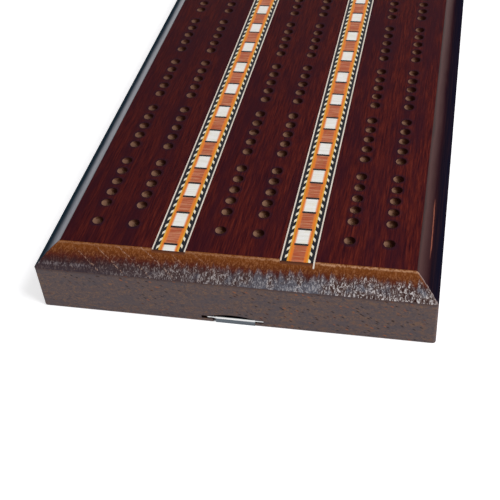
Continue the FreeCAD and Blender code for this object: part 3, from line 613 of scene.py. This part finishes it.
def tile_veneer(name, main, line, blotch):
    """Veneer sawn across the band, sanded flush and varnished: fine saw lines from side to side, a blotch
    of warmer wood here and there, and both edges dyed by the orange lines that they are glued to."""
    material, tree = new_material(name)
    place = in_millimetres(tree)
    x, y, _ = add(tree, "SeparateXYZ", {0: place}).outputs
    # saw lines 0.4 mm apart: real ones are finer, and would not show
    lines = pattern(tree, "TexNoise", place, (6.7, 0.36, 1.0), {"Detail": 1.0, "Roughness": 0.6})
    amount = add(tree, "MapRange", {"Value": lines, "From Min": 0.47, "From Max": 0.6})
    colour = add(tree, "MixRGB", {"Fac": amount, "Color1": main, "Color2": line})
    # blotches 1 mm across and 2 mm along the band
    warm = pattern(tree, "TexNoise", place, (1.1, 2.0, 1.0), {"Detail": 3.0})
    amount = add(tree, "MapRange", {"Value": warm, "From Min": 0.5, "From Max": 0.68,
                                    "To Min": 0.0, "To Max": 0.7})
    colour = add(tree, "MixRGB", {"Fac": amount, "Color1": colour, "Color2": blotch})
    side = add(tree, "Math", {0: x}, operation="ABSOLUTE")
    edge = away_from(tree, side, BAND_OFFSET)
    edge = add(tree, "MapRange", {"Value": edge, "From Min": TILE_HALF_WIDTH - DYE_CREEP,
                                  "From Max": TILE_HALF_WIDTH, "To Min": 0.0, "To Max": 0.85})
    colour = add(tree, "MixRGB", {"Fac": edge, "Color1": colour, "Color2": "#DC7A2A"})
    return varnished_veneer(material, colour, y)


def line_veneer(name, main, other, shows=BAND_SHOWS):
    """Dyed veneer a fraction of a millimetre thick, glued on edge: one colour, a little uneven."""
    material, tree = new_material(name)
    place = in_millimetres(tree)
    _, y, _ = add(tree, "SeparateXYZ", {0: place}).outputs
    # uneven over 2.5 mm along the line
    dye = pattern(tree, "TexNoise", place, (0.4, 2.5, 1.0), {"Detail": 3.0})
    amount = add(tree, "MapRange", {"Value": dye, "From Min": 0.4, "From Max": 0.7})
    colour = add(tree, "MixRGB", {"Fac": amount, "Color1": main, "Color2": other})
    return varnished_veneer(material, colour, y, shows)


def rope(name, middle, outward, slant, pitch, first_chip):
    """Slanted chips of holly and dyed black pearwood glued up into a strip: a crisp twist along the band.
    middle is where the strip runs, outward is +1 where its outer side is to the right, and first_chip is
    how far the middle of a pale chip is from the near end."""
    material, tree = new_material(name)
    x, y, _ = add(tree, "SeparateXYZ", {0: in_millimetres(tree)}).outputs
    across = add(tree, "Math", {0: x, 1: middle}, operation="SUBTRACT")
    along = add(tree, "Math", {0: across, 1: -slant, 2: y}, operation="MULTIPLY_ADD")
    along = add(tree, "Math", {0: along, 1: NEAR_END + first_chip - pitch / 2}, operation="SUBTRACT")
    along = add(tree, "Math", {0: along, 1: pitch}, operation="FLOORED_MODULO")
    along = away_from(tree, along, pitch / 2)
    # a glue line is neither pale nor black
    half = pitch * ROPE_PALE / 2
    pale = add(tree, "MapRange", {"Value": along, "From Min": half + ROPE_GLUE / 2,
                                  "From Max": half - ROPE_GLUE / 2})
    outside = add(tree, "Math", {0: across, 1: outward}, operation="MULTIPLY")
    inside = add(tree, "Math", {0: outside, 1: ROPE_TRIM}, operation="LESS_THAN")
    pale = add(tree, "Math", {0: pale, 1: inside}, operation="MULTIPLY")
    colour = add(tree, "MixRGB", {"Fac": pale, "Color1": "#12141A", "Color2": "#E4DCC6"})
    return varnished_veneer(material, colour, y)


def sheet_steel():
    """Zinc-plated sheet steel, rolled and folded: dull grey with rolling marks across the sheet. The
    outside of the bend is a painted highlight, white and less metallic, and the top just behind the bend
    is painted dark as shade."""
    material, tree = new_material("steel_sheet_zinc_plated")
    place = in_millimetres(tree)
    _, y, z = add(tree, "SeparateXYZ", {0: place}).outputs
    # rolling marks 0.3 mm apart: real ones are finer, and would not show
    marks = pattern(tree, "TexNoise", place, (6.7, 0.33, 0.33), {"Detail": 3.0})
    colour = add(tree, "ValToRGB", {"Fac": marks}, ((0.3, "#4E545A"), (0.7, "#60666C")))
    # painted highlight: the outside of the bend turns white
    bend = add(tree, "MapRange", {"Value": z, "From Min": BEND_HIGHLIGHT[0], "From Max": BEND_HIGHLIGHT[1]})
    colour = add(tree, "MixRGB", {"Fac": bend, "Color1": colour, "Color2": "#FFFFFF"})
    # painted shade on the top just behind the bend, under the finger relief, and the rest of the top is
    # dull grey
    top = add(tree, "MapRange", {"Value": z, "From Min": HIGHLIGHT_ENDS[0], "From Max": HIGHLIGHT_ENDS[1]})
    painted_shade_fade = add(tree, "MapRange", {"Value": y, "From Min": NEAR_END + PAINTED_SHADE_REACH[0],
                                    "From Max": NEAR_END + PAINTED_SHADE_REACH[1]})
    worn = add(tree, "MixRGB", {"Fac": painted_shade_fade, "Color1": "#0C0D10", "Color2": "#7C8288"})
    colour = add(tree, "MixRGB", {"Fac": top, "Color1": colour, "Color2": worn})
    rough = add(tree, "MapRange", {"Value": marks, "From Min": 0.3, "From Max": 0.7,
                                   "To Min": 0.28, "To Max": 0.45})
    # the painted highlight is made less metallic, so that it scatters the light and shows white
    painted_highlight_band = add(tree, "Math", {0: bend, 1: top}, operation="SUBTRACT")
    metal = add(tree, "Math", {0: painted_highlight_band, 1: -0.7, 2: 1.0}, operation="MULTIPLY_ADD")
    return finished(material, {"Base Color": colour, "Metallic": metal, "Roughness": rough})


# ---------------------------------------------------------------- the board
def bevel_inset(z, run):
    """How far a bevel has come in from the wall at height z. It is an arc from the shoulder to the
    crease, and a short curve joins it to the wall."""
    chord = math.hypot(run, BEVEL_DROP)
    radius = (chord ** 2 + 4 * BEVEL_CROWN ** 2) / (8 * BEVEL_CROWN)
    centre_in = run / 2 + (radius - BEVEL_CROWN) * BEVEL_DROP / chord
    centre_up = SHOULDER + BEVEL_DROP / 2 - (radius - BEVEL_CROWN) * run / chord
    joined = SHOULDER + WALL_JOIN
    at = max(z, joined)
    inset = centre_in - math.sqrt(radius ** 2 - (at - centre_up) ** 2)
    if z >= joined:
        return inset
    slope = (at - centre_up) / (centre_in - inset)
    reach = 2 * inset / slope
    return slope / (2 * reach) * max(z - joined + reach, 0.0) ** 2


def board_outline(height, inset_x, inset_y, radius):
    """The board's outline at one height, set in from its walls, with round corners."""
    steps = 5
    points = []
    for quarter, (sign_x, sign_y) in enumerate(((1, 1), (-1, 1), (-1, -1), (1, -1))):
        centre_x = sign_x * (WIDTH / 2 - inset_x - radius)
        centre_y = sign_y * (LENGTH / 2 - inset_y - radius)
        for step in range(steps + 1):
            angle = math.radians(90 * (quarter + step / steps))
            points.append((centre_x + radius * math.cos(angle), centre_y + radius * math.sin(angle),
                           height))
    return points


def slab():
    """The board before it is drilled: eased foot, upright walls, round-planed bevels and a worn
    crease."""
    rings = []
    foot_steps, blend_steps, bevel_steps, crease_steps = 3, 8, 11, 4
    for step in range(foot_steps + 1):
        angle = math.radians(90 * step / foot_steps)
        inset = FOOT_EASE * (1 - math.sin(angle))
        rings.append(board_outline(FOOT_EASE * (1 - math.cos(angle)), inset, inset, UPRIGHT_CORNER))
    low, high, worn = SHOULDER - SHOULDER_BLEND, SHOULDER + SHOULDER_BLEND, THICKNESS - CREASE_DROP
    heights = [low + (high - low) * step / blend_steps for step in range(blend_steps + 1)]
    heights += [high + (worn - high) * step / bevel_steps for step in range(1, bevel_steps + 1)]
    runs = (SIDE_BEVEL_RUN, END_BEVEL_RUN)
    for height in heights:
        share = min(max((height - low) / (high - low), 0), 1)
        radius = UPRIGHT_CORNER + (MITRE_RADIUS - UPRIGHT_CORNER) * share
        rings.append(board_outline(height, *[bevel_inset(height, run) for run in runs], radius))
    # the crease is rounded from the bevel to the playing face
    for step in range(1, crease_steps + 1):
        share = step / crease_steps
        insets = [(1 - share) ** 2 * bevel_inset(worn, run) + 2 * share * (1 - share) * run
                  + share ** 2 * (run + CREASE_WEAR) for run in runs]
        rings.append(board_outline(THICKNESS - CREASE_DROP * (1 - share) ** 2, *insets, MITRE_RADIUS))
    shape = bmesh.new()
    loft(shape, rings)
    bmesh.ops.recalc_face_normals(shape, faces=shape.faces)
    return from_bmesh("board_wood", shape)


def hole_places():
    """Middle of every hole: one start hole and the groups of scoring holes in each row."""
    rows = [lane + side * ROW_SPACING / 2 for lane in LANES for side in (-1, 1)]
    start = NEAR_END + END_MARGIN
    alongs = [start] + [start + START_GAP + group * GROUP_STEP + hole * HOLE_PITCH
                        for group in range(GROUPS) for hole in range(HOLES_IN_GROUP)]
    return [(x, y) for x in rows for y in alongs]


def drill_bits():
    """One cutter of all the holes, each opening out at its worn rim."""
    shape = bmesh.new()
    turns = [2 * math.pi * side / HOLE_SIDES for side in range(HOLE_SIDES)]
    levels = ((THICKNESS - HOLE_DEPTH, HOLE_RADIUS), (THICKNESS - RIM_WEAR, HOLE_RADIUS),
              (THICKNESS + RIM_WEAR, HOLE_RADIUS + 2 * RIM_WEAR))
    for x, y in hole_places():
        loft(shape, [[(x + radius * math.cos(turn), y + radius * math.sin(turn), height)
                      for turn in turns] for height, radius in levels])
    return from_bmesh("drill_bits", shape)


def grooves():
    """The two grooves for the bands, from end to end."""
    shape = bmesh.new()
    half = BAND_HALF_WIDTH + GLUE_LINE
    for middle in (-BAND_OFFSET, BAND_OFFSET):
        block(shape, (middle - half, NEAR_END - PAST, THICKNESS - BAND_DEPTH),
              (middle + half, -NEAR_END + PAST, THICKNESS + PAST))
    return from_bmesh("grooves", shape)


def compartment():
    """The routed slot with round ends, from the underside to its roof."""
    near = NEAR_END + END_WALL + MOUTH_HALF_WIDTH
    far = NEAR_END + END_WALL + COMPARTMENT_LENGTH - MOUTH_HALF_WIDTH
    steps = 12
    outline = []
    for middle, turn in ((near, math.pi), (far, 0.0)):
        for step in range(steps + 1):
            angle = turn + math.pi * step / steps
            outline.append((MOUTH_MIDDLE + MOUTH_HALF_WIDTH * math.cos(angle),
                            middle + MOUTH_HALF_WIDTH * math.sin(angle)))
    shape = bmesh.new()
    loft(shape, [[(x, y, height) for x, y in outline] for height in (-PAST, ROOF)])
    return from_bmesh("compartment", shape)


def mouth():
    """The slot's opening through the near end wall, under the cover."""
    hair = 0.01    # the cutter stops this far under the kerf's top, so that no two cuts share a face
    shape = bmesh.new()
    block(shape, (MOUTH_MIDDLE - MOUTH_HALF_WIDTH, NEAR_END - PAST, -PAST),
          (MOUTH_MIDDLE + MOUTH_HALF_WIDTH, NEAR_END + END_WALL + MOUTH_HALF_WIDTH, KERF_TOP - hair))
    return from_bmesh("mouth", shape)


def kerf():
    """The two saw kerfs that hold the cover's edges, sawn as one slit from side to side."""
    shape = bmesh.new()
    block(shape, (-KERF_HALF_WIDTH, NEAR_END - PAST, RAIL),
          (KERF_HALF_WIDTH, NEAR_END + KERF_LENGTH, KERF_TOP))
    return from_bmesh("kerf", shape)


def finger_relief():
    """The shallow arch over the cover, through the near wall of the compartment."""
    radius = (RELIEF_HALF_CHORD ** 2 + RELIEF_RISE ** 2) / (2 * RELIEF_RISE)
    spread = math.asin(RELIEF_HALF_CHORD / radius)
    steps = 16
    below = KERF_TOP - KERF_HEIGHT / 2
    profile = [(-RELIEF_HALF_CHORD, below), (RELIEF_HALF_CHORD, below)]
    for step in range(steps + 1):
        angle = spread * (1 - 2 * step / steps)
        profile.append((radius * math.sin(angle),
                        KERF_TOP + RELIEF_RISE - radius * (1 - math.cos(angle))))
    ends = (NEAR_END + END_WALL + MOUTH_HALF_WIDTH, NEAR_END - PAST)
    shape = bmesh.new()
    loft(shape, [[(x, y, z) for x, z in profile] for y in ends])
    bmesh.ops.recalc_face_normals(shape, faces=shape.faces)
    return from_bmesh("finger_relief", shape)


FINISHES = (stained_face, side_bevel, end_bevel, stained_side, end_grain, bare_cut, sawn_kerf)


def finish_of(centre, normal):
    """The finish that a face of the board takes, from where its centre lies and which way it looks."""
    slack = 0.1                # millimetres for the rounding of the edges
    sloped, flat = 0.1, 0.3    # how far up a face looks on a bevel, and on the playing face
    x, y, z = abs(centre.x) / MM, abs(centre.y) / MM, centre.z / MM
    sideways = abs(normal.x) > abs(normal.y)
    if z > SHOULDER - slack and max(x - FACE_X, y - FACE_Y) > slack / 2 and normal.z > sloped:
        return side_bevel if sideways else end_bevel
    if z > THICKNESS - slack and normal.z > flat:
        return stained_face
    if x > WIDTH / 2 - FOOT_EASE and sideways or z < FOOT_EASE and normal.z < -flat:
        return stained_side
    if y > LENGTH / 2 - UPRIGHT_CORNER and z < SHOULDER + slack:
        return end_grain
    return sawn_kerf if z < KERF_TOP + RELIEF_RISE + slack else bare_cut


def board():
    """The drilled, grooved and routed board, with a finish for each kind of surface."""
    piece = slab()
    for cutter in (drill_bits(), grooves(), compartment(), mouth(), kerf(), finger_relief()):
        cut(piece, cutter)
    for finish in FINISHES:
        piece.data.materials.append(finish())
    for face in piece.data.polygons:
        face.material_index = FINISHES.index(finish_of(face.center, face.normal))
        face.use_smooth = True
    sharp_from = math.radians(35)
    shape = bmesh.new()
    shape.from_mesh(piece.data)
    for edge in shape.edges:
        edge.smooth = len(edge.link_faces) == 2 and edge.calc_face_angle(0) < sharp_from
    shape.to_mesh(piece.data)
    shape.free()
    weights = piece.modifiers.new("flat_faces_stay_flat", "WEIGHTED_NORMAL")
    weights.keep_sharp = True
    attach(piece, "board")
    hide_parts("board")


def dress(node, material):
    """Gives a CAD node its finish."""
    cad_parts[node].data.materials.clear()
    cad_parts[node].data.materials.append(material)


def bands():
    """Finishes for every line and tile of the two bands."""
    tiles = {
        "light_tiles": tile_veneer("holly_bleached_white", "#EAE8E5", "#E0DDD6", "#E4DFD0"),
        "brown_tiles": tile_veneer("padauk_sawn_across", "#A45033", "#BE7A5C", "#A6643E"),
        "black_bars": line_veneer("pearwood_dyed_black", "#1A171B", "#2C2523"),
    }
    lines = {
        "orange": line_veneer("birch_dyed_orange", "#E07A22", "#D46E2C"),
        "yellow": line_veneer("birch_dyed_yellow", "#D89E3A", "#CA8428"),
        "black": line_veneer("birch_dyed_black", "#12141B", "#1C1B20"),
        "white": line_veneer("holly_sliced", "#E2D8CC", "#CBBFB0"),
    }
    # for each strip: band, place, middle, outward, slant, pitch, and where a pale chip lies
    strips = (("left", "outer", -BAND_OFFSET - ROPE_MIDDLE, -1, ROPE_SLANT, 2.97, 1.50),
              ("left", "inner", -BAND_OFFSET + ROPE_MIDDLE, 1, -ROPE_SLANT, 2.90, 2.63),
              ("right", "inner", BAND_OFFSET - ROPE_MIDDLE, -1, ROPE_SLANT, 2.88, 2.42),
              ("right", "outer", BAND_OFFSET + ROPE_MIDDLE, 1, -ROPE_SLANT, 2.89, 0.87))
    for side, place, *numbers in strips:
        name = "holly_and_pearwood_chips_%s_%s" % (side, place)
        dress("%s_band_rope_%s" % (side, place), rope(name, *numbers))
    for side in ("left", "right"):
        for kind, material in tiles.items():
            dress("%s_band_%s" % (side, kind), material)
        for line, material in lines.items():
            for place in ("outer", "inner"):
                dress("%s_band_%s_%s" % (side, line, place), material)
    dress("right_band_white_outer", line_veneer("holly_sliced_long", "#E2D8CC", "#CBBFB0", SLIVER_REACH))


# ---------------------------------------------------------------- camera, light and floor
def camera():
    """The view of the near end, from above and a little to the right."""
    data = bpy.data.cameras.new("view")
    data.sensor_width = 36.0
    data.lens = 68.39
    data.shift_x = -0.03
    data.clip_start = 0.01
    eye = bpy.data.objects.new("view", data)
    bpy.context.scene.collection.objects.link(eye)
    eye.location = (0.05408, -0.27423, 0.18927)
    eye.rotation_euler = [math.radians(angle) for angle in (47.858, 3.471, 10.94)]
    bpy.context.scene.camera = eye


def lamp(name, direction, distance, size, power):
    """A square soft box that looks at the board, with its distance and size in metres and its power in
    watts."""
    data = bpy.data.lights.new(name, "AREA")
    data.shape = "SQUARE"
    data.size = size
    data.energy = power
    light = bpy.data.objects.new(name, data)
    bpy.context.scene.collection.objects.link(light)
    way = Vector(direction).normalized()
    light.location = way * distance
    light.rotation_euler = way.to_track_quat("Z", "Y").to_euler()


def room():
    """A room that lights the board softly all round, and looks as white as the paper."""
    world = bpy.data.worlds.new("room")
    bpy.context.scene.world = world
    world.use_nodes = True
    tree = world.node_tree
    tree.nodes.clear()
    level = add(tree, "MapRange", {"Value": shows_background(tree), "To Min": ROOM_LIGHT, "To Max": 1.0})
    back = add(tree, "Background", {"Color": "#FFFFFF", "Strength": level})
    add(tree, "OutputWorld", {"Surface": back})


def white_paper():
    """White paper, matt: what looks at it or mirrors it gets enough extra to read as white, but not under
    the board."""
    material, tree = new_material("white_paper")
    seen = shows_background(tree)
    x, y, _ = add(tree, "SeparateXYZ", {0: in_millimetres(tree)}).outputs
    beyond = []
    for value, size in ((x, WIDTH), (y, LENGTH)):
        value = add(tree, "Math", {0: value}, operation="ABSOLUTE")
        beyond.append(add(tree, "Math", {0: value, 1: size / 2 - PAPER_UNDER}, operation="GREATER_THAN"))
    outside = add(tree, "Math", {0: beyond[0], 1: beyond[1]}, operation="MAXIMUM")
    for share in (outside, PAPER_GLOW):
        seen = add(tree, "Math", {0: seen, 1: share}, operation="MULTIPLY")
    return finished(material, {"Base Color": "#F4F4F6", "Roughness": 0.9, "Specular IOR Level": 0.0,
                               "Emission Color": "#FFFFFF", "Emission Strength": seen})


def studio():
    """Soft daylight from the upper right and all round, on a white paper floor."""
    bpy.context.scene.view_settings.view_transform = "Standard"
    lamp("key", direction=(0.62, -0.2, 0.76), distance=1.2, size=0.6, power=10.5)
    lamp("fill", direction=(-0.5, -0.5, 0.7), distance=1.4, size=0.9, power=1.5)
    room()
    shape = bmesh.new()
    corners = ((-1, -1), (1, -1), (1, 1), (-1, 1))
    shape.faces.new([shape.verts.new(Vector((x, y, 0)) * PAPER_REACH * MM) for x, y in corners])
    floor = from_bmesh("floor", shape)
    floor.data.materials.append(white_paper())


board()
bands()
dress("cover_plate", sheet_steel())
camera()
studio()
